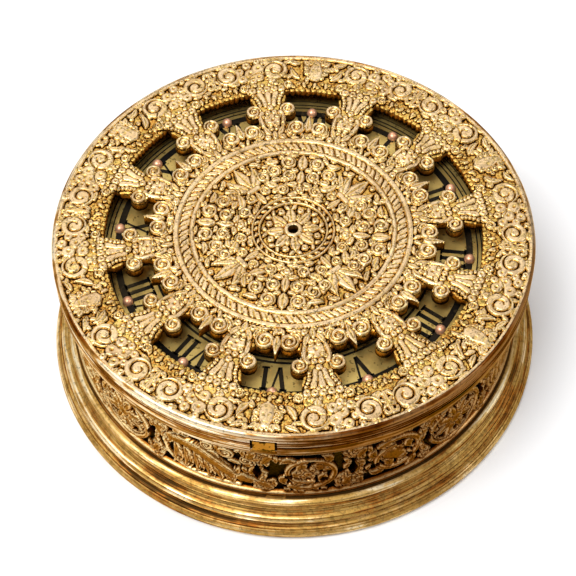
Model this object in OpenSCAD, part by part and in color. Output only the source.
// A spring-driven clock watch in a round gilt drum case with a pierced cover.
// Lengths are millimetres. Twelve o'clock points to +Y and the base stands on Z = 0.

/* [Case] */
// Outer radius of the lid
lid_r = 35; // [34.6:0.1:36]
// Wall of the lid's moulded rim
lid_wall = 1.8; // [1.5:0.1:1.9]
// Height of the lid's moulded rim
lid_rim_h = 3.9; // [3.8:0.05:4.4]
// Thickness of the pierced cover's ground
cover_t = 0.7; // [0.5:0.05:0.8]
// Height of the cover's raised work above its ground
relief_h = 0.8; // [0.5:0.05:0.9]
// Height of the drum's pierced band
band_h = 12; // [11.8:0.1:13]
// How far the pierced band stands in from the lid
band_inset = 1.6; // [1.2:0.1:1.8]
// Wall of the pierced band
band_wall = 1.2; // [0.8:0.1:1.3]
// Height of the moulding over the band
crest_h = 2.3; // [2.2:0.1:2.6]
// Height of the moulded base
base_h = 6.2; // [6.2:0.1:7]
// How far the base's widest torus stands out from the lid
base_spread = 2.3; // [2.2:0.1:3.5]
// Gap that parts the drum from the base
parting_gap = 0.3; // [0.2:0.05:0.5]

/* [Pierced cover] */
// Number of windows, one for each hour
window_count = 12; // [12]
// Radius at which the windows end outside
window_r = 27.6; // [27.2:0.1:28.2]
// Radius of the solid hub inside the windows
hub_r = 18; // [17.5:0.1:18.4]
// Width of a column's shaft
shaft_w = 4; // [3.4:0.1:4.6]
// Radius of the scrolls on a column's sides
ear_r = 1.25; // [0.9:0.05:1.4]
// Radius of the scrolls along the hub
volute_r = 1.35; // [1:0.05:1.5]
// Radius of the cover's middle hole
eye_r = 0.8; // [0.5:0.05:1.2]

/* [Dial] */
// Thickness of the dial
dial_t = 0.8; // [0.6:0.05:1]
// Radius of the circle of touch pins
pin_circle_r = 25.8; // [25.4:0.1:26.2]
// Radius of a touch pin's head
pin_head_r = 0.78; // [0.6:0.02:0.9]
// Gap between the hand's tip and the ring of touch pins
hand_gap = 6; // [5.5:0.1:8]
// Height of a numeral
numeral_h = 3.8; // [3:0.1:4]
// Width of a numeral's stroke
stroke_w = 0.62; // [0.4:0.02:0.8]

/* [Movement] */
// Radius of the two movement plates
plate_r = 28.5; // [28.2:0.1:29.5]
// Thickness of a movement plate
plate_t = 1; // [0.8:0.05:1.1]
// Free height between the plates
frame_h = 7.6; // [7.6:0.1:8]
// Radius of a pillar
pillar_r = 0.9; // [0.7:0.05:1]
// Outer radius of a mainspring barrel
barrel_r = 10.6; // [10:0.1:10.8]
// Radius of the balance ring
balance_r = 8.5; // [7.5:0.1:9]

/* [Bell] */
// Outer radius of the bell's mouth
bell_r = 28.4; // [28.2:0.1:29]
// Wall of the bell
bell_t = 0.9; // [0.7:0.05:1]
// Radius of the hammer's head
hammer_head_r = 1.2; // [0.9:0.05:1.25]

/* [Hidden] */
$fn = 72;
hour_deg = 30;
slip = 0.05;            // clearance of a shaft that turns
solder_gap = 0.05;      // gap between the lid and the drum
cut = 0.5;              // how far a cutter runs past a face

// heights, from the base up
drum_z = base_h + parting_gap;
crest_z = drum_z + band_h;
parting_z = crest_z + crest_h;
lid_z = parting_z + solder_gap;
rim_top = lid_z + lid_rim_h;
ground_z = rim_top - 0.55;
cover_z = ground_z - cover_t;
relief_z = ground_z + relief_h;
dial_top = parting_z + 0.2;
dial_z = dial_top - dial_t;
front_top = dial_z - 1.6;
front_z = front_top - plate_t;
back_top = front_z - frame_h;
back_z = back_top - plate_t;

// case radii
band_r = lid_r - band_inset;
base_r = lid_r + base_spread;
band_in = band_r - band_wall;
lid_in = lid_r - lid_wall;
crest_r = lid_r - 0.4;
dial_r = band_in - 0.3;
ledge_r = dial_r - 1.3;
base_in = band_r - 0.8;
rabbet_r = lid_r - 1;

// pierced cover: columns, scrolls and raised work
ear_at = 23.4;
ear_side = 2.6;
capital_w = 6.2;
volute_out = 1.5;
volute_side = 1.75;
skirt = 0.5;            // how far the windows' walls reach below the rim's rabbet
skirt_r = window_r + 2.4;
wreath_out = 1;
wreath_w = 2.3;
wreath_n = 54;
foliage_r = 5.95;
line_w = 0.44;
root = 0.2;
masks = 6;
mask_at = 31.4;
scroll_at = 31.9;
scroll_r = 1.95;
scroll_turns = [11.6, 25];
// fruits between the scrolls: distance from the middle, turn from the mask, radius
fruits = [[30.6, 16.4, 0.85], [32.5, 16.5, 0.95], [31.5, 18.9, 0.95], [33.2, 19.6, 0.7], [30.7, 21, 0.7]];
// curls of the foliage: distance from the middle, turn from an axis, radius
curls = [[7.7, 18, 0.9], [10.2, 9.5, 1], [12.8, 9.5, 1.15], [11.5, 21, 1.1]];
bud_at = 7.6;
bud_r = 0.85;

// frieze of the drum: four like quarters of roundel, beast and two scrolls
frieze_quarters = 4;
frieze_turn = -85;
quarter_half = band_r * PI / frieze_quarters;
frieze_ground = band_in + 0.6 * band_wall;
frieze_relief = band_r + 0.3;
roundel_r = 5.2;
roundel_w = 0.75;
wheel_scroll_r = 4.6;
wheel_scroll_w = 0.8;
wheel_scroll_at = [2.9, 15.6];

// hinges at twelve o'clock
knuckle_r = 1;
knuckle_w = 3;
knuckle_gap = 0.1;
hinge_pin_r = 0.4;
lid_hinge_y = lid_r + 1.2;
base_hinge_y = base_r - 1.2;
base_hinge_z = base_h + 0.2;

// lid catch at six o'clock
catch_w = 3;
catch_z = dial_top + 0.1;
catch_h = 2.2;
catch_side = 0.35;
catch_blade_r = lid_in - 0.6;
catch_blade_t = 0.65;
catch_blade_h = 1.2;
catch_sweep = 34;
catch_rivet_r = 0.25;
catch_eye_r = 0.55;

// toothed wheels: teeth and module
great_n = 60;
great_m = 0.4;
leaf_n = 10;
hour_leaf_n = 12;
hour_n = 60;
second_n = 48;
second_m = 0.35;
fine_leaf_n = 8;
contrate_n = 40;
pin_wheel_n = 44;
hoop_n = 36;
hoop_m = 0.3;
fly_leaf_n = 6;
count_n = 48;
wheel_t = 0.7;
great_z = back_top + 0.6;
great_t = 0.8;
second_z = great_z + great_t + 0.2;
barrel_z = second_z + wheel_t + 0.5;
barrel_wall = 0.6;
arbor_r = 0.7;
great_arbor_r = 1.1;
pivot_r = 0.45;
great_pivot_r = 0.8;
square_w = 1.5;

function polar(d, a) = [d * cos(a), d * sin(a)];
function mesh(n1, n2, m) = (n1 + n2) * m / 2;

// arbors of the going train
going_a = 160;
going_p = polar(mesh(hour_n, hour_leaf_n, great_m), going_a);
second_a = -75;
second_p = going_p + polar(mesh(great_n, leaf_n, great_m), second_a);
contrate_a = -45;
contrate_p = second_p + polar(mesh(second_n, fine_leaf_n, second_m), contrate_a);
contrate_r = 5.2;
contrate_tip_z = second_z + 2.16;
crown_z = contrate_tip_z + 0.84;
crown_gap = 0.4;
crown_r = front_z - crown_gap - crown_z;
crown_n = 13;
crown_x = contrate_p[0] + 9;
crown_tip_x = contrate_p[0] + 11;
verge_p = contrate_p + [12, 0];
verge_r = 0.35;

// arbors of the striking train
strike_a = 180 - going_a;
strike_p = polar(mesh(hour_n, hour_leaf_n, great_m), strike_a);
pin_wheel_a = 120;
pin_wheel_p = strike_p + polar(mesh(great_n, leaf_n, great_m), pin_wheel_a);
hoop_a = 160;
hoop_p = pin_wheel_p + polar(mesh(pin_wheel_n, fine_leaf_n, second_m), hoop_a);
fly_a = 200;
fly_p = hoop_p + polar(mesh(hoop_n, fly_leaf_n, hoop_m), fly_a);
count_a = 170;
count_p = strike_p + polar(mesh(fine_leaf_n, count_n, great_m), count_a);
count_z = back_z - 1.1;
count_t = 0.7;
count_slot_r = count_n * great_m / 2 - 2;
count_lever_p = [-12, 16];
lifter_p = [9, -19.5];
lift_pin_circle = 2.7;
lift_pin_r = 0.35;
hammer_p = [17.5, 20];
hammer_arm = 10;
hammer_arm_z = back_z - 1.8;
bell_in = bell_r - bell_t;
hammer_gap = 0.3;
head_r = bell_in - hammer_gap - hammer_head_r;
head_cos = (head_r * head_r - norm(hammer_p) * norm(hammer_p) - hammer_arm * hammer_arm)
    / (2 * hammer_arm * norm(hammer_p));
hammer_a = atan2(hammer_p[1], hammer_p[0]) - acos(head_cos);
tail_a = atan2(pin_wheel_p[1] - hammer_p[1], pin_wheel_p[0] - hammer_p[0]);
tail_l = norm(hammer_p - pin_wheel_p) - lift_pin_circle - lift_pin_r - 0.2;

// inlaid hour ring
inlay = 0.05;
letter_v = 2.6;
letter_i = 1.25;
hand_l = pin_circle_r - hand_gap;
hand_head = 4.8;
hand_half_w = 1.3;

// bearings of the crown wheel and the balance
potence_at = [3.2, 7];
potence_w = 2.2;
potence_t = 0.9;
crown_arbor_r = 0.35;
crown_leaf_n = 8;
crown_leaf_m = 2 * contrate_r / contrate_n;
cock_a = 150;
cock_l = balance_r + 2.3;
cock_z = back_z - 2.1;
cock_t = 0.5;

// frame
pillar_circle = 27;
pillar_angles = [-12, 78, 125, 192, 270];
dial_foot_circle = 22;
dial_foot_angles = [-50, 70, 190];
dial_foot_r = 1;

// bell
bell_z = 1.9;
bell_curve = 3.5;
bell_lip_z = base_h - 0.3;
post_r = 1.2;
plate_floor = 0.6;
base_plate_t = 1;

// plain helpers

module at(p, z = 0) {
    translate([p[0], p[1], z]) children();
}

module tube(r_out, r_in, h) {
    difference() {
        cylinder(r = r_out, h = h);
        translate([0, 0, -cut]) cylinder(r = r_in, h = h + 2 * cut);
    }
}

module band_2d(r_out, r_in) {
    difference() {
        circle(r = r_out);
        circle(r = r_in);
    }
}

module slab(x, y, z) {
    translate([-x / 2, -y / 2, 0]) cube([x, y, z]);
}

module around(list, radius, z = 0) {
    for (a = list) at(polar(radius, a), z) rotate(a) children();
}

// points of an arc in a section, from one angle to another
function arc(c, r, from, to, steps = 6) =
    [for (i = [0:steps]) c + polar(r, from + (to - from) * i / steps)];

// one tooth has a foot, two straight flanks and a narrow tip
function tooth(a, pitch_r, m, n, share) = [
    polar(pitch_r - 1.25 * m, a - 360 / n * (share / 2 + 0.06)),
    polar(pitch_r, a - 360 / n * share / 2),
    polar(pitch_r + 0.75 * m, a - 360 / n * share / 4),
    polar(pitch_r + 0.75 * m, a + 360 / n * share / 4),
    polar(pitch_r, a + 360 / n * share / 2),
    polar(pitch_r - 1.25 * m, a + 360 / n * (share / 2 + 0.06))
];

wheel_share = 0.42;
pinion_share = 0.34;

module toothed(n, m, h, phase, share) {
    linear_extrude(h)
        polygon([for (i = [0:n - 1]) each tooth(phase + i * 360 / n, n * m / 2, m, n, share)]);
}

module wheel(n, m, h, toward) {
    toothed(n, m, h, toward, wheel_share);
}

// a pinion has a gap where its wheel has a tooth
module pinion(n, m, h, toward) {
    toothed(n, m, h, toward + 180 / n, pinion_share);
}

module crossings(n, r_in, r_out, h) {
    for (i = [0:n - 1]) rotate(i * 360 / n) translate([0, 0, -cut])
        linear_extrude(h + 2 * cut)
            polygon(concat(arc([0, 0], r_in, 12, 360 / n - 12), arc([0, 0], r_out, 360 / n - 5, 5)));
}

module arbor(p, z0, z1, body_r, tip_r) {
    at(p, z0) cylinder(r = tip_r, h = z1 - z0);
    at(p, back_top + 0.15) cylinder(r = body_r, h = frame_h - 0.3);
}

// case

module base_section() {
    torus_r = 1;
    ring_r = 0.7;
    bead_r = 0.4;
    polygon(concat(
        [[base_in, plate_floor], [base_in - 1.4, plate_floor], [base_in - 1.4, 0], [base_r - 1, 0]],
        arc([base_r - torus_r, torus_r], torus_r, -90, 80),
        [[base_r - 1.1, 2.05], [base_r - 1.1, 2.3]],
        arc([base_r - 1.8, 3], ring_r, -80, 80),
        [[base_r - 2.1, 3.9]],
        arc([base_r - 1.6, 4.7], 0.95, 235, 180, 4),
        arc([base_r - 2.8, 5.1], bead_r, -40, 80),
        [[base_r - 3.1, 5.55], [base_r - 3.1, base_h], [base_in, base_h]]
    ));
}

module knuckle(x, y, z, half) {
    translate([x - half, y, z]) rotate([0, 90, 0]) cylinder(r = knuckle_r, h = 2 * half);
}

module hinge_bore(y, z, r) {
    translate([-knuckle_w * 3, y, z]) rotate([0, 90, 0]) cylinder(r = r, h = knuckle_w * 6);
}

module base_moulding() {
    leaf = knuckle_w / 2;
    color("goldenrod") difference() {
        union() {
            rotate_extrude() base_section();
            for (x = [-2 * knuckle_w, 0, 2 * knuckle_w]) {
                knuckle(x, base_hinge_y, base_hinge_z, leaf);
                translate([x - leaf, base_hinge_y - 2.2, base_h - 3])
                    cube([2 * leaf, 3.1, 2.9]);
            }
        }
        hinge_bore(base_hinge_y, base_hinge_z, hinge_pin_r);
    }
}

module base_plate() {
    petals = 12;
    color("darkgoldenrod") translate([0, 0, plate_floor]) difference() {
        cylinder(r = base_in, h = base_plate_t);
        translate([0, 0, -cut]) cylinder(r = post_r, h = base_plate_t + 2 * cut);
        for (i = [0:petals - 1]) rotate(i * 360 / petals) {
            translate([9, 0, -cut]) cylinder(r = 1.5, h = base_plate_t + 2 * cut);
            translate([14.5, 0, -cut]) cylinder(r = 2.2, h = base_plate_t + 2 * cut);
        }
    }
}

module bell_post() {
    color("goldenrod") translate([0, 0, plate_floor]) {
        cylinder(r = post_r, h = bell_z + bell_t + 1.2 - plate_floor);
        translate([0, 0, base_plate_t]) cylinder(r = post_r + 0.8, h = bell_z - plate_floor - base_plate_t);
    }
}

module bell() {
    mid = [bell_r - bell_curve, bell_z + bell_curve];
    color("peru") rotate_extrude() polygon(concat(
        [[post_r, bell_z]],
        arc(mid, bell_curve, -90, 0),
        [[bell_r, bell_lip_z], [bell_in, bell_lip_z]],
        arc(mid, bell_curve - bell_t, 0, -90),
        [[post_r, bell_z + bell_t]]
    ));
}

module bell_nut() {
    color("slategray") translate([0, 0, bell_z + bell_t]) difference() {
        cylinder(r = 2.6, h = 1, $fn = 6);
        translate([0, 0, -cut]) cylinder(r = post_r, h = 1 + 2 * cut);
    }
}

module hinge_pin(y, z) {
    translate([-2.5 * knuckle_w, y, z]) rotate([0, 90, 0])
        cylinder(r = hinge_pin_r, h = 5 * knuckle_w);
}

module base_hinge_pin() {
    color("slategray") hinge_pin(base_hinge_y, base_hinge_z);
}

module lid_hinge_pin() {
    color("slategray") hinge_pin(lid_hinge_y, parting_z);
}

// a flat shape is pushed through the frieze: X runs round the drum from a quarter's middle, Y upwards
module on_frieze(quarter, x, y) {
    rotate(frieze_turn + quarter * 360 / frieze_quarters + x / band_r * 180 / PI)
        translate([band_in - cut, 0, drum_z + band_h / 2 + y]) rotate([90, 0, 90])
            linear_extrude(frieze_relief + 1 - band_in + cut) children();
}

module leaf_2d(a, b, w) {
    middle = a + (b - a) * 0.45;
    side = [a[1] - b[1], b[0] - a[0]] / norm(b - a) * w;
    polygon([a, middle + side, b, middle - side]);
}

module leaves_2d(n, from, to, w, phase = 0) {
    for (i = [0:n - 1]) rotate(phase + i * 360 / n) leaf_2d([from, 0], [to, 0], w);
}

module roundel_2d() {
    band_2d(roundel_r, roundel_r - roundel_w);
    circle(r = 1);
    leaves_2d(8, 0.6, roundel_r - 0.5, 0.8, 17);
}

module wheel_scroll_2d() {
    band_2d(wheel_scroll_r, wheel_scroll_r - wheel_scroll_w);
    circle(r = 0.8);
    leaves_2d(6, 0.5, 2.2, 0.7);
    leaves_2d(3, 2, wheel_scroll_r - 0.5, 0.6, 20);
}

// a running beast, its body arched over a fan of leaves
module beast_2d() {
    polygon([[-6, 3], [-3.6, 4.3], [-0.6, 3.7], [2.4, 1.6], [4.4, -0.6], [6.6, -1.2], [6.2, -3.4],
             [4.2, -3.2], [1.6, -1.2], [-1, 0.9], [-3.6, 1.6], [-5.6, 1.2]]);
    for (i = [0:4]) leaf_2d([-4.4 + i * 1.5, 2.1 - i * i * 0.15], [-5.2 + i * 1.9, -4.6], 0.55);
    leaf_2d([-5.6, 2.6], [-7.4, 5.2], 0.6);
}

// a raised form is rooted in the band and rounded to its face
module frieze_form(quarter, x, y) {
    intersection() {
        on_frieze(quarter, x, y) children();
        at([0, 0], drum_z + 0.3) tube(frieze_relief, frieze_ground - root, band_h - 0.6);
    }
}

module frieze_forms(quarter) {
    frieze_form(quarter, -quarter_half, 0) roundel_2d();
    frieze_form(quarter, -12, -0.2) beast_2d();
    for (x = wheel_scroll_at) frieze_form(quarter, x, 0) wheel_scroll_2d();
}

// what is dark between the forms is open, so that the bell is heard
module band_cutters() {
    gaps = [-20.6, -4.2, 9.2, 20.8];
    for (q = [0:frieze_quarters - 1]) {
        for (x = gaps) on_frieze(q, x, 0) polygon([[0, 2.4], [0.75, 0], [0, -2.4], [-0.75, 0]]);
        for (x = wheel_scroll_at, a = [80, 200, 320])
            on_frieze(q, x + 2.9 * cos(a), 2.9 * sin(a)) circle(r = 0.6);
        for (a = [40:90:310])
            on_frieze(q, 3.4 * cos(a) - quarter_half, 3.4 * sin(a)) circle(r = 0.55);
        for (i = [0:3]) on_frieze(q, -15.9 + i * 1.7, -2.3 - i * 0.45) circle(r = 0.4);
    }
}

module drum_band() {
    fillet = 0.5;
    color("goldenrod") difference() {
        union() {
            rotate_extrude() polygon([
                [band_in, drum_z], [band_r + fillet, drum_z], [band_r + fillet, drum_z + 0.6],
                [frieze_ground, drum_z + 0.9], [frieze_ground, crest_z - 0.9],
                [band_r + fillet, crest_z - 0.6], [band_r + fillet, crest_z], [band_in, crest_z]
            ]);
            for (q = [0:frieze_quarters - 1]) frieze_forms(q);
            for (x = [-knuckle_w, knuckle_w]) {
                knuckle(x, base_hinge_y, base_hinge_z, knuckle_w / 2 - knuckle_gap);
                translate([x - knuckle_w / 2 + knuckle_gap, band_r - 0.6, drum_z])
                    cube([knuckle_w - 2 * knuckle_gap, base_hinge_y - band_r + 0.6, 0.8]);
            }
        }
        band_cutters();
        hinge_bore(base_hinge_y, base_hinge_z, hinge_pin_r + slip);
    }
}

module drum_moulding() {
    color("goldenrod") difference() {
        union() {
            rotate_extrude() polygon(concat(
                [[ledge_r, dial_z - 0.6], [band_in, dial_z - 1.1], [band_in, crest_z]],
                [[band_r + 0.2, crest_z]],
                arc([band_r + 0.2, crest_z + 0.45], 0.4, -80, 80, 4),
                [[crest_r - 0.3, parting_z - 1.2], [crest_r, parting_z - 1]],
                [[crest_r, parting_z], [dial_r + 0.1, parting_z], [dial_r + 0.1, dial_z],
                 [ledge_r, dial_z]]
            ));
            for (x = [-2 * knuckle_w, 0, 2 * knuckle_w]) {
                knuckle(x, lid_hinge_y, parting_z, knuckle_w / 2);
                translate([x - knuckle_w / 2, crest_r - 1, parting_z - 0.9])
                    cube([knuckle_w, lid_hinge_y - crest_r + 1, 0.8]);
            }
        }
        hinge_bore(lid_hinge_y, parting_z, hinge_pin_r);
        at(polar(catch_blade_r, -90 - catch_sweep), parting_z - 1)
            cylinder(r = catch_rivet_r, h = 2);
    }
}

module catch_rivet() {
    color("slategray") at(polar(catch_blade_r, -90 - catch_sweep), parting_z - 1) {
        cylinder(r = catch_rivet_r, h = catch_z + catch_blade_h + 1.1 - parting_z);
        translate([0, 0, catch_z + catch_blade_h + 0.05 - parting_z + 1])
            cylinder(r = catch_eye_r - 0.1, h = 0.25);
    }
}

module lid_catch() {
    color("goldenrod") difference() {
        union() {
            translate([0, 0, catch_z]) rotate(-90 - catch_sweep) rotate_extrude(angle = catch_sweep)
                translate([catch_blade_r - catch_blade_t / 2, 0]) square([catch_blade_t, catch_blade_h]);
            at(polar(catch_blade_r, -90 - catch_sweep), catch_z) cylinder(r = catch_eye_r, h = catch_blade_h);
            intersection() {
                translate([-catch_w / 2, -lid_r - 1, catch_z])
                    cube([catch_w, lid_r + 1 - catch_blade_r + catch_blade_t / 2, catch_h]);
                cylinder(r = lid_r, h = relief_z);
            }
        }
        at(polar(catch_blade_r, -90 - catch_sweep), catch_z - cut)
            cylinder(r = catch_rivet_r + slip, h = catch_blade_h + 2 * cut);
    }
}

module lid_rim() {
    reed = 0.22;
    color("goldenrod") difference() {
        union() {
            rotate_extrude() polygon(concat(
                [[lid_in, lid_z], [lid_r, lid_z], [lid_r, lid_z + 1.1], [lid_r - reed, lid_z + 1.25]],
                [for (i = [0:2]) each arc([lid_r - reed, lid_z + 1.55 + i * 0.5], reed, -80, 80, 4)],
                [[lid_r - reed, lid_z + 2.95], [lid_r, rim_top - 0.7], [lid_r, rim_top - 0.1],
                 [lid_r - 0.1, rim_top], [rabbet_r, rim_top], [rabbet_r, cover_z], [lid_in, cover_z]]
            ));
            for (x = [-knuckle_w, knuckle_w]) {
                half = knuckle_w / 2 - knuckle_gap;
                knuckle(x, lid_hinge_y, parting_z, half);
                translate([x - half, lid_r - 1, parting_z + 0.1])
                    cube([2 * half, lid_hinge_y - lid_r + 1, 0.8]);
            }
        }
        hinge_bore(lid_hinge_y, parting_z, hinge_pin_r + slip);
        translate([-catch_w / 2 - catch_side, -lid_r - 1, lid_z - cut])
            cube([catch_w + 2 * catch_side, lid_wall + 1.3, cover_z - lid_z + cut]);
    }
}

// outline of the pierced cover: ring, hub, twelve columns and the scrolls between them
module cover_outline() {
    difference() {
        circle(r = rabbet_r);
        circle(r = window_r);
    }
    circle(r = hub_r);
    for (i = [0:window_count - 1]) {
        rotate((i + 0.5) * hour_deg) {
            translate([hub_r - 1, -shaft_w / 2]) square([window_r - hub_r + 2, shaft_w]);
            for (s = [-1, 1]) translate([ear_at, s * ear_side]) circle(r = ear_r);
            capital_2d();
        }
        rotate(i * hour_deg) {
            for (s = [-1, 1]) translate([hub_r + volute_out, s * volute_side]) circle(r = volute_r);
            translate([hub_r - 0.5, -1]) square([2.6, 2]);
            pendant_2d();
        }
    }
}

module capital_2d() {
    foot = shaft_w / 2 - 0.3;
    half = capital_w / 2;
    polygon([
        [ear_at + 1, -foot], [window_r - 0.9, 0.6 - half], [window_r + 0.6, -half],
        [window_r + 0.6, half], [window_r - 0.9, half - 0.6], [ear_at + 1, foot]
    ]);
}

module pendant_2d() {
    leaf_2d([hub_r + 1, 0], [hub_r + 3.9, 0], 0.75);
}

module scroll_2d(r) {
    band_2d(r, r * 0.5);
    circle(r = r * 0.25);
}

// raised work is rooted a little below the ground's face
module raised(h = relief_h) {
    at([0, 0], ground_z - root) linear_extrude(h + root) children();
}

module cover_lines() {
    for (r = [hub_r - wreath_out, hub_r - wreath_out - wreath_w, foliage_r, foliage_r - 1])
        raised() band_2d(r + line_w / 2, r - line_w / 2);
    raised(relief_h * 0.6) band_2d(rabbet_r, rabbet_r - 0.5);
    raised() circle(r = eye_r + 0.5);
}

// outer band: masks with scrolls and fruits between them
module band_relief() {
    for (i = [0:masks - 1]) rotate(90 + i * 360 / masks) {
        translate([mask_at, 0]) circle(r = 1.8);
        translate([mask_at + 1.1, 0]) circle(r = 1.4);
        for (s = [-1, 1]) {
            for (a = scroll_turns) rotate(s * a) translate([scroll_at, 0]) scroll_2d(scroll_r);
            for (f = fruits) rotate(s * f[1]) translate([f[0], 0]) circle(r = f[2]);
        }
        rotate(180 / masks) leaf_2d([mask_at - 1.7, 0], [mask_at + 2.3, 0], 0.8);
    }
}

module column_relief() {
    for (i = [0:window_count - 1]) {
        rotate((i + 0.5) * hour_deg) {
            translate([hub_r + 3.2, 0]) square(2.3, center = true);
            for (s = [-1, 1]) {
                translate([ear_at, s * ear_side]) scroll_2d(ear_r - 0.1);
                leaf_2d([hub_r + 0.4, s * 1.2], [ear_at - 0.6, s * 1.75], 0.4);
                leaf_2d([ear_at + 0.6, s * 1.1], [window_r + 0.8, s * (capital_w / 2 - 0.4)], 0.55);
            }
            leaf_2d([window_r + 0.9, 0], [ear_at - 1, 0], 0.8);
        }
        rotate(i * hour_deg) {
            for (s = [-1, 1]) translate([hub_r + volute_out, s * volute_side]) scroll_2d(volute_r - 0.1);
            leaf_2d([hub_r + 0.9, 0], [hub_r + 3.8, 0], 0.6);
        }
    }
}

module wreath_relief() {
    pitch = 360 / wreath_n;
    inner = hub_r - wreath_out - wreath_w + 0.35;
    outer = hub_r - wreath_out - 0.35;
    for (i = [0:wreath_n - 1]) rotate(i * pitch) polygon([
        polar(inner, -0.4 * pitch), polar(inner, 0.15 * pitch),
        polar(outer, 0.95 * pitch), polar(outer, 0.4 * pitch)
    ]);
}

// foliage: a bud on each axis, a lily on each diagonal, curls and leaves between them
module foliage_relief() {
    for (k = [0:3]) rotate(k * 90) {
        translate([bud_at, 0]) circle(r = bud_r);
        leaf_2d([bud_at + 1, 0], [bud_at + 3.4, 0], 0.6);
        leaf_2d([bud_at + 4, 0], [bud_at + 6.6, 0], 0.75);
        for (s = [-1, 1]) {
            for (c = curls) rotate(s * c[1]) translate([c[0], 0]) scroll_2d(c[2]);
            rotate(s * 26) leaf_2d([8, 0], [10.6, s * 0.6], 0.6);
            rotate(s * 20) leaf_2d([13, 0], [13.9, -s * 1.6], 0.45);
        }
        rotate(45) {
            leaf_2d([9.6, 0], [14, 0], 0.75);
            for (s = [-1, 1]) leaf_2d([9.6, s * 0.3], [13, s * 2.1], 0.7);
            translate([9.3, -0.9]) square([0.7, 1.8]);
            leaf_2d([6.3, 0], [9, 0], 0.5);
        }
    }
}

module rosette_relief() {
    petals = 8;
    leaves_2d(petals, 1.4, 3.9, 0.75, 11);
    for (i = [0:petals - 1]) rotate(11 + (i + 0.5) * 360 / petals) translate([3.6, 0]) circle(r = 0.5);
}

module pierced_cover() {
    color("gold") difference() {
        union() {
            at([0, 0], cover_z) linear_extrude(cover_t) cover_outline();
            at([0, 0], cover_z - skirt) linear_extrude(skirt + root) intersection() {
                cover_outline();
                circle(r = skirt_r);
            }
            cover_lines();
            raised() band_relief();
            raised() column_relief();
            raised(relief_h * 0.75) wreath_relief();
            raised(relief_h * 0.75) foliage_relief();
            raised(relief_h * 0.75) rosette_relief();
        }
        at([0, 0], cover_z - skirt - cut) cylinder(r = eye_r, h = relief_z - cover_z + skirt + 2 * cut);
    }
}

// dial

module dial() {
    color("darkkhaki") translate([0, 0, dial_z]) difference() {
        cylinder(r = dial_r, h = dial_t);
        translate([0, 0, -cut]) cylinder(r = 1.75, h = dial_t + 2 * cut);
        for (i = [0:window_count - 1]) at(polar(pin_circle_r, i * hour_deg), -cut)
            cylinder(r = 0.5, h = dial_t + 2 * cut);
    }
}

// a letter is drawn with its foot on the X axis, in strokes from point to point
module stroke(a, b) {
    l = norm(b - a);
    translate(a) rotate(atan2(b[1] - a[1], b[0] - a[0]))
        translate([0, -stroke_w / 2]) square([l, stroke_w]);
}

module letter(c) {
    if (c == "I") stroke([letter_i / 2, 0], [letter_i / 2, numeral_h]);
    if (c == "V") {
        stroke([0.4, numeral_h], [letter_v / 2, 0.1]);
        stroke([letter_v - 0.4, numeral_h], [letter_v / 2, 0.1]);
    }
    if (c == "X") {
        stroke([0.4, numeral_h], [letter_v - 0.4, 0]);
        stroke([letter_v - 0.4, numeral_h], [0.4, 0]);
    }
}

function advance(c) = c == "I" ? letter_i : letter_v;
function run(word, i) = i <= 0 ? 0 : run(word, i - 1) + advance(word[i - 1]);

module numeral(word) {
    translate([-run(word, len(word)) / 2, 0])
        for (i = [0:len(word) - 1]) translate([run(word, i), 0]) letter(word[i]);
}

module dial_numerals() {
    words = ["XII", "I", "II", "III", "IIII", "V", "VI", "VII", "VIII", "IX", "X", "XI"];
    color("black") translate([0, 0, dial_top]) difference() {
        union() {
            tube(pin_circle_r + 0.45, pin_circle_r - 0.45, inlay);
            for (r = [pin_circle_r + 1.2, pin_circle_r + 1.8]) tube(r + 0.12, r - 0.12, inlay);
            for (r = [pin_circle_r - 5.1, pin_circle_r - 5.8]) tube(r + 0.2, r - 0.2, inlay);
            linear_extrude(inlay) for (i = [0:11]) rotate(-i * hour_deg)
                translate([0, pin_circle_r - 0.5 - numeral_h]) numeral(words[i]);
        }
        for (i = [0:window_count - 1]) at(polar(pin_circle_r, i * hour_deg), -cut)
            cylinder(r = pin_head_r, h = 2 * cut);
    }
}

module touch_pins() {
    color("sandybrown") for (i = [0:window_count - 1]) at(polar(pin_circle_r, i * hour_deg), dial_z) {
        cylinder(r = 0.5, h = dial_t);
        translate([0, 0, dial_t]) intersection() {
            cylinder(r = pin_head_r, h = 1);
            translate([0, 0, 0.22]) sphere(r = pin_head_r);
        }
    }
}

module dial_feet() {
    color("goldenrod") around(dial_foot_angles, dial_foot_circle, front_top)
        cylinder(r = dial_foot_r, h = dial_z - front_top);
}

// frame of the movement

module plate_bore(p, r) {
    at(p, -cut) cylinder(r = r + slip, h = plate_t + 2 * cut);
}

module front_plate() {
    color("khaki") translate([0, 0, front_z]) difference() {
        cylinder(r = plate_r, h = plate_t);
        plate_bore(going_p, great_pivot_r);
        plate_bore(strike_p, great_pivot_r);
        for (p = [second_p, contrate_p, pin_wheel_p, hoop_p, fly_p, hammer_p]) plate_bore(p, pivot_r);
        plate_bore(verge_p, verge_r);
        at([0, 0], -cut) cylinder(r = 0.8, h = plate_t + 2 * cut);
        around(pillar_angles, pillar_circle, -cut) cylinder(r = pillar_r - 0.3, h = plate_t + 2 * cut);
    }
}

module back_plate() {
    color("khaki") translate([0, 0, back_z]) difference() {
        cylinder(r = plate_r, h = plate_t);
        plate_bore(going_p, great_pivot_r);
        plate_bore(strike_p, great_pivot_r);
        for (p = [second_p, contrate_p, pin_wheel_p, hoop_p, fly_p, hammer_p]) plate_bore(p, pivot_r);
        plate_bore(verge_p, verge_r + 0.1);
        around(pillar_angles, pillar_circle, -cut) cylinder(r = pillar_r - 0.3, h = plate_t + 2 * cut);
    }
}

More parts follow.
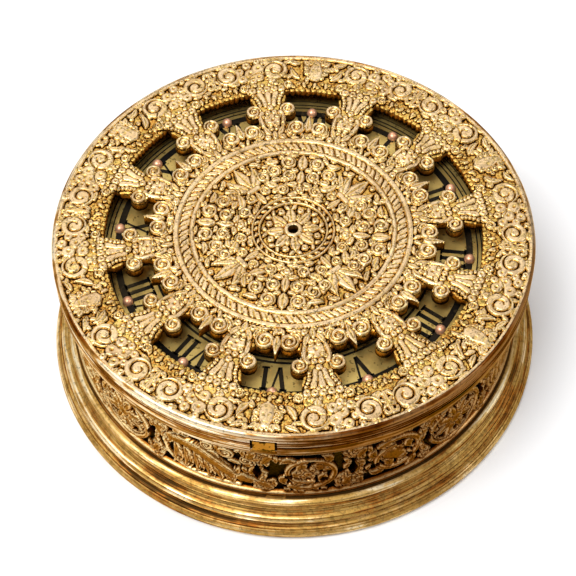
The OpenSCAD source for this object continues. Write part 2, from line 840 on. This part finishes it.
module pillars() {
    spigot = 0.9;
    color("goldenrod") around(pillar_angles, pillar_circle) {
        translate([0, 0, back_top]) cylinder(r = pillar_r, h = frame_h);
        translate([0, 0, back_z - spigot])
            cylinder(r = pillar_r - 0.3, h = frame_h + 2 * plate_t + spigot);
    }
}

module pillar_pins() {
    color("slategray") around(pillar_angles, pillar_circle, back_z - 0.3) difference() {
        rotate([90, 0, 0]) cylinder(r = 0.25, h = 3, center = true);
        translate([0, 0, -1]) cylinder(r = pillar_r - 0.3, h = 2);
    }
}

module centre_stud() {
    color("slategray") translate([0, 0, front_z]) cylinder(r = 0.8, h = dial_top + 0.9 - front_z);
}

module crown_potence() {
    bottom = crown_z - 0.75;
    color("goldenrod") difference() {
        for (x = potence_at) translate([contrate_p[0] + x, contrate_p[1] - potence_w / 2, bottom])
            cube([potence_t, potence_w, front_z - bottom]);
        translate([contrate_p[0], contrate_p[1], crown_z]) rotate([0, 90, 0])
            cylinder(r = crown_arbor_r + slip, h = 9);
    }
}

module balance_cock() {
    color("goldenrod") at(verge_p, cock_z) rotate(cock_a) difference() {
        union() {
            translate([0, -1.1, 0]) cube([cock_l, 2.2, cock_t]);
            cylinder(r = 1.8, h = cock_t);
            translate([cock_l - 1.5, -1.5, 0]) cube([3, 3, back_z - cock_z]);
        }
        translate([0, 0, -cut]) cylinder(r = verge_r + slip, h = cock_t + 2 * cut);
        translate([cock_l, 0, -cut]) cylinder(r = 0.6, h = 4);
    }
}

module cock_pin() {
    color("slategray") at(verge_p, cock_z) rotate(cock_a) translate([cock_l, 0, -0.25]) {
        cylinder(r = 0.6, h = back_z - cock_z + 0.25);
        cylinder(r = 1, h = 0.25);
    }
}

module barrel(p) {
    h = front_z - barrel_z;
    at(p, barrel_z) difference() {
        cylinder(r = barrel_r, h = h);
        translate([0, 0, barrel_wall]) cylinder(r = barrel_r - barrel_wall, h = h);
        translate([0, 0, -cut]) cylinder(r = great_arbor_r + 0.4, h = h);
    }
}

// a mainspring is one flat strip wound in a steady spiral
module mainspring(p) {
    turns = 6;
    steps = 16;
    strip = 0.4;
    first = barrel_r - barrel_wall - 0.15;
    last = great_arbor_r + 0.6;
    count = turns * steps;
    outer = [for (i = [0:count]) polar(first + (last - first) * i / count, i * 360 / steps)];
    inner = [for (i = [count:-1:0]) polar(first - strip + (last - first) * i / count, i * 360 / steps)];
    at(p, barrel_z + barrel_wall + 0.1)
        linear_extrude(front_z - barrel_z - barrel_wall - 0.3) polygon(concat(outer, inner));
}

module going_barrel() {
    color("burlywood") barrel(going_p);
}

module going_mainspring() {
    color("steelblue") mainspring(going_p);
}

module strike_barrel() {
    color("burlywood") barrel(strike_p);
}

module strike_mainspring() {
    color("steelblue") mainspring(strike_p);
}

module count_studs() {
    color("slategray") for (p = [count_p, count_lever_p]) {
        at(p, count_z - 0.2) cylinder(r = 0.6, h = back_z - count_z + 0.2);
        at(p, count_z - 0.45) cylinder(r = 1, h = 0.3);
    }
}

module lifter_stud() {
    color("slategray") at(lifter_p, front_top) cylinder(r = 0.6, h = 1.2);
}

module hammer_spring() {
    foot = polar(20.5, 38);
    color("steelblue") {
        at(foot, back_z - 0.9) cylinder(r = 1, h = 0.9);
        at(foot, back_z - 0.9) rotate(-72) translate([0, -0.15, 0]) cube([8, 0.3, 0.6]);
    }
}

// going train

module great_arbor(p) {
    top = front_top + 0.2;
    square_z = back_z - 2.1;
    at(p, back_top + 0.15) cylinder(r = great_arbor_r, h = frame_h - 0.3);
    at(p, back_z - 0.15) cylinder(r = great_pivot_r, h = top - back_z + 0.15);
    at(p, square_z) slab(square_w, square_w, back_z - square_z - 0.1);
}

module going_arbor() {
    color("slategray") {
        great_arbor(going_p);
        at(going_p, front_top + 0.2) pinion(hour_leaf_n, great_m, 0.9, going_a + 180);
    }
}

module great_wheel(p, toward) {
    at(p, great_z) difference() {
        wheel(great_n, great_m, great_t, toward);
        translate([0, 0, -cut]) cylinder(r = great_arbor_r, h = great_t + 2 * cut);
        crossings(4, 5.2, great_n * great_m / 2 - 2.4, great_t);
    }
}

module going_great_wheel() {
    color("gold") great_wheel(going_p, second_a);
}

module click(p, a) {
    at(p, great_z + great_t) rotate(a) difference() {
        union() {
            translate([3.8, 0, 0]) cylinder(r = 0.5, h = 0.7);
            translate([2.2, -0.25, 0]) cube([1.8, 0.5, 0.5]);
        }
        translate([0, 0, -cut]) cylinder(r = 2.2, h = 2);
    }
    at(p, great_z + great_t) difference() {
        linear_extrude(0.5) polygon([for (i = [0:23]) polar(i % 2 == 0 ? 2.1 : 1.7, i * 15)]);
        translate([0, 0, -cut]) cylinder(r = great_arbor_r, h = 2);
    }
}

module going_click() {
    color("slategray") click(going_p, 200);
}

module second_wheel() {
    color("gold") {
        arbor(second_p, back_z, front_top, arbor_r, pivot_r);
        at(second_p, great_z - 0.2) pinion(leaf_n, great_m, great_t + 0.3, second_a + 180);
        at(second_p, second_z) difference() {
            wheel(second_n, second_m, wheel_t, contrate_a);
            crossings(4, 3, second_n * second_m / 2 - 1.8, wheel_t);
        }
    }
}

// a tooth of the contrate wheel stands up from its rim
module contrate_tooth(a) {
    pitch = 2 * contrate_r * PI / contrate_n;
    rotate(a) translate([contrate_r - 0.3, 0, 0]) rotate([90, 0, 90]) linear_extrude(0.6)
        polygon([[-0.24 * pitch, 0], [-0.14 * pitch, 0.56], [0.14 * pitch, 0.56], [0.24 * pitch, 0]]);
}

module contrate_wheel() {
    disc_z = contrate_tip_z - 1.16;
    color("gold") {
        arbor(contrate_p, back_z, front_top, arbor_r, pivot_r);
        at(contrate_p, second_z - 0.2) pinion(fine_leaf_n, second_m, wheel_t + 0.3, contrate_a + 180);
        at(contrate_p, disc_z) {
            difference() {
                cylinder(r = contrate_r + 0.3, h = 0.4);
                crossings(4, 1.6, 4, 0.4);
            }
            tube(contrate_r + 0.3, contrate_r - 0.3, 0.6);
            for (i = [0:contrate_n - 1]) translate([0, 0, 0.6]) contrate_tooth(i * 360 / contrate_n);
        }
    }
}

module crown_wheel() {
    pitch = 360 / crown_n;
    color("gold") translate([contrate_p[0], contrate_p[1], crown_z]) rotate([0, 90, 0]) {
        translate([0, 0, 3.2]) cylinder(r = crown_arbor_r, h = 6.2);
        translate([0, 0, 4.6]) toothed(crown_leaf_n, crown_leaf_m, 1.2, 180 / crown_leaf_n, pinion_share);
        translate([0, 0, 8.2]) difference() {
            cylinder(r = crown_r, h = 1.2);
            translate([0, 0, 0.4]) cylinder(r = crown_r - 0.35, h = 2);
        }
        translate([0, 0, 9.4]) difference() {
            tube(crown_r, crown_r - 0.35, 1.6);
            for (i = [0:crown_n - 1]) rotate(i * pitch) translate([crown_r - 1, 0, 0])
                rotate([90, 0, 90]) linear_extrude(2)
                    polygon([[0.14, 1.7], [0.35, 0.3], [0.9, 0.1], [1.4, 1.7]]);
        }
    }
}

module verge() {
    flag = [0.85, 0.22, 1.1];
    color("slategray") {
        at(verge_p, cock_z) cylinder(r = verge_r, h = front_z + 0.7 - cock_z);
        for (s = [-1, 1]) at(verge_p, crown_z + s * (crown_r - 0.3) - flag[2] / 2)
            rotate(180 + s * 50) translate([0, -flag[1] / 2, 0]) cube(flag);
    }
}

module balance() {
    color("gold") at(verge_p, back_z - 1.3) {
        tube(balance_r, balance_r - 1, 0.6);
        difference() {
            union() {
                cylinder(r = 1.3, h = 0.6);
                slab(2 * balance_r - 1.5, 1.1, 0.6);
            }
            translate([0, 0, -cut]) cylinder(r = verge_r, h = 2);
        }
    }
}

module hour_wheel() {
    color("gold") difference() {
        union() {
            at([0, 0], front_top + 0.3) difference() {
                wheel(hour_n, great_m, wheel_t, going_a);
                crossings(4, 3, hour_n * great_m / 2 - 2.4, wheel_t);
            }
            at([0, 0], front_top + 0.15) cylinder(r = 1.65, h = dial_top + 0.6 - front_top);
        }
        at([0, 0], front_top - cut) cylinder(r = 0.8 + slip, h = 6);
    }
}

module hour_hand() {
    color("steelblue") translate([0, 0, dial_top + 0.2]) difference() {
        union() {
            cylinder(r = 2.4, h = 0.5);
            rotate(60) linear_extrude(0.4) polygon([
                [1.5, -0.6], [hand_l - hand_head - 1, -0.35], [hand_l - hand_head, -hand_half_w], [hand_l, 0],
                [hand_l - hand_head, hand_half_w], [hand_l - hand_head - 1, 0.35], [1.5, 0.6]
            ]);
            rotate(240) linear_extrude(0.4) polygon([[1.5, -0.5], [6, -0.8], [7, 0], [6, 0.8], [1.5, 0.5]]);
        }
        translate([0, 0, -cut]) cylinder(r = 1.65, h = 2);
    }
}

// striking train

module strike_arbor() {
    color("slategray") {
        great_arbor(strike_p);
        at(strike_p, count_z - 0.1) pinion(fine_leaf_n, great_m, count_t + 0.2, count_a);
    }
}

module strike_great_wheel() {
    color("gold") great_wheel(strike_p, pin_wheel_a);
}

module strike_click() {
    color("slategray") click(strike_p, -20);
}

module pin_wheel() {
    color("gold") {
        arbor(pin_wheel_p, back_z, front_top, arbor_r, pivot_r);
        at(pin_wheel_p, great_z - 0.2) pinion(leaf_n, great_m, great_t + 0.3, pin_wheel_a + 180);
        at(pin_wheel_p, second_z) difference() {
            wheel(pin_wheel_n, second_m, wheel_t, hoop_a);
            crossings(4, 2.4, pin_wheel_n * second_m / 2 - 2.4, wheel_t);
        }
    }
}

module lift_pins() {
    pins = 8;
    color("slategray") at(pin_wheel_p, second_z + wheel_t) for (i = [0:pins - 1])
        at(polar(lift_pin_circle, (i + 0.5) * 360 / pins)) cylinder(r = lift_pin_r, h = 1.3);
}

module hoop_wheel() {
    hoop_z = second_z + 2.8;
    color("gold") {
        arbor(hoop_p, back_z, front_top, arbor_r, pivot_r);
        at(hoop_p, second_z - 0.2) pinion(fine_leaf_n, second_m, wheel_t + 0.3, hoop_a + 180);
        at(hoop_p, hoop_z) difference() {
            wheel(hoop_n, hoop_m, 0.6, fly_a);
            crossings(3, 1.9, hoop_n * hoop_m / 2 - 1.3, 0.6);
        }
        at(hoop_p, hoop_z + 0.6) rotate(20) rotate_extrude(angle = 300)
            translate([3.4, 0]) square([0.5, 0.8]);
    }
}

module fly() {
    color("gold") {
        arbor(fly_p, back_z, front_top, 0.5, pivot_r);
        at(fly_p, second_z + 2.6) pinion(fly_leaf_n, hoop_m, 1, fly_a + 180);
        at(fly_p, second_z + 0.2) rotate(40) slab(6, 0.35, 2);
    }
}

// slots in the counting wheel stand where each hour's blows end
module count_wheel() {
    blows = [for (h = [0:11]) h * (h + 1) / 2];
    color("gold") at(count_p, count_z) difference() {
        wheel(count_n, great_m, count_t, count_a + 180);
        translate([0, 0, -cut]) cylinder(r = 0.6 + slip, h = 2);
        crossings(4, 2.6, count_slot_r - 1.6, count_t);
        for (b = blows)
            rotate(b * 360 / 78) translate([count_slot_r, 0, -cut]) slab(1, 0.7, count_t + 2 * cut);
    }
}

function lever_reach(p, q, r) = norm(p - q) - r - 0.2;

module lever(p, q, reach, h) {
    at(p) rotate(atan2(q[1] - p[1], q[0] - p[0])) difference() {
        union() {
            cylinder(r = 1.1, h = h);
            translate([0, -0.5, 0]) cube([reach, 1, h]);
        }
        translate([0, 0, -cut]) cylinder(r = 0.6 + slip, h = h + 2 * cut);
    }
}

module count_lever() {
    reach = lever_reach(count_lever_p, count_p, count_n * great_m / 2 + great_m);
    color("slategray") translate([0, 0, count_z]) lever(count_lever_p, count_p, reach, 0.6);
}

module lifting_lever() {
    reach = lever_reach(lifter_p, [0, 0], hour_n * great_m / 2 + great_m);
    color("slategray") translate([0, 0, front_top + 0.3]) lever(lifter_p, [0, 0], reach, 0.6);
}

module hammer() {
    head_z = bell_lip_z - 0.3;
    color("slategray") {
        arbor(hammer_p, hammer_arm_z, front_top, 0.6, pivot_r);
        at(hammer_p, hammer_arm_z) rotate(hammer_a) {
            cylinder(r = 1.1, h = 0.9);
            translate([0, -0.5, 0]) cube([hammer_arm, 1, 0.9]);
            translate([hammer_arm, 0, 0]) cylinder(r = 0.7, h = 0.9);
            translate([hammer_arm, 0, head_z - hammer_arm_z])
                cylinder(r = 0.5, h = hammer_arm_z - head_z + 0.1);
            translate([hammer_arm, 0, head_z - hammer_arm_z]) sphere(r = hammer_head_r);
        }
        at(hammer_p, second_z + wheel_t + 0.4) rotate(tail_a) translate([0, -0.4, 0])
            cube([tail_l, 0.8, 0.7]);
    }
}

base_moulding();
base_plate();
bell_post();
bell();
bell_nut();
base_hinge_pin();
drum_band();
drum_moulding();
lid_hinge_pin();
dial();
dial_numerals();
touch_pins();
dial_feet();
front_plate();
back_plate();
pillars();
pillar_pins();
centre_stud();
crown_potence();
balance_cock();
cock_pin();
going_barrel();
going_mainspring();
strike_barrel();
strike_mainspring();
count_studs();
lifter_stud();
hammer_spring();
catch_rivet();
going_arbor();
going_great_wheel();
going_click();
second_wheel();
contrate_wheel();
crown_wheel();
verge();
balance();
hour_wheel();
hour_hand();
strike_arbor();
strike_great_wheel();
strike_click();
pin_wheel();
lift_pins();
hoop_wheel();
fly();
count_wheel();
count_lever();
lifting_lever();
hammer();
lid_catch();
lid_rim();
pierced_cover();
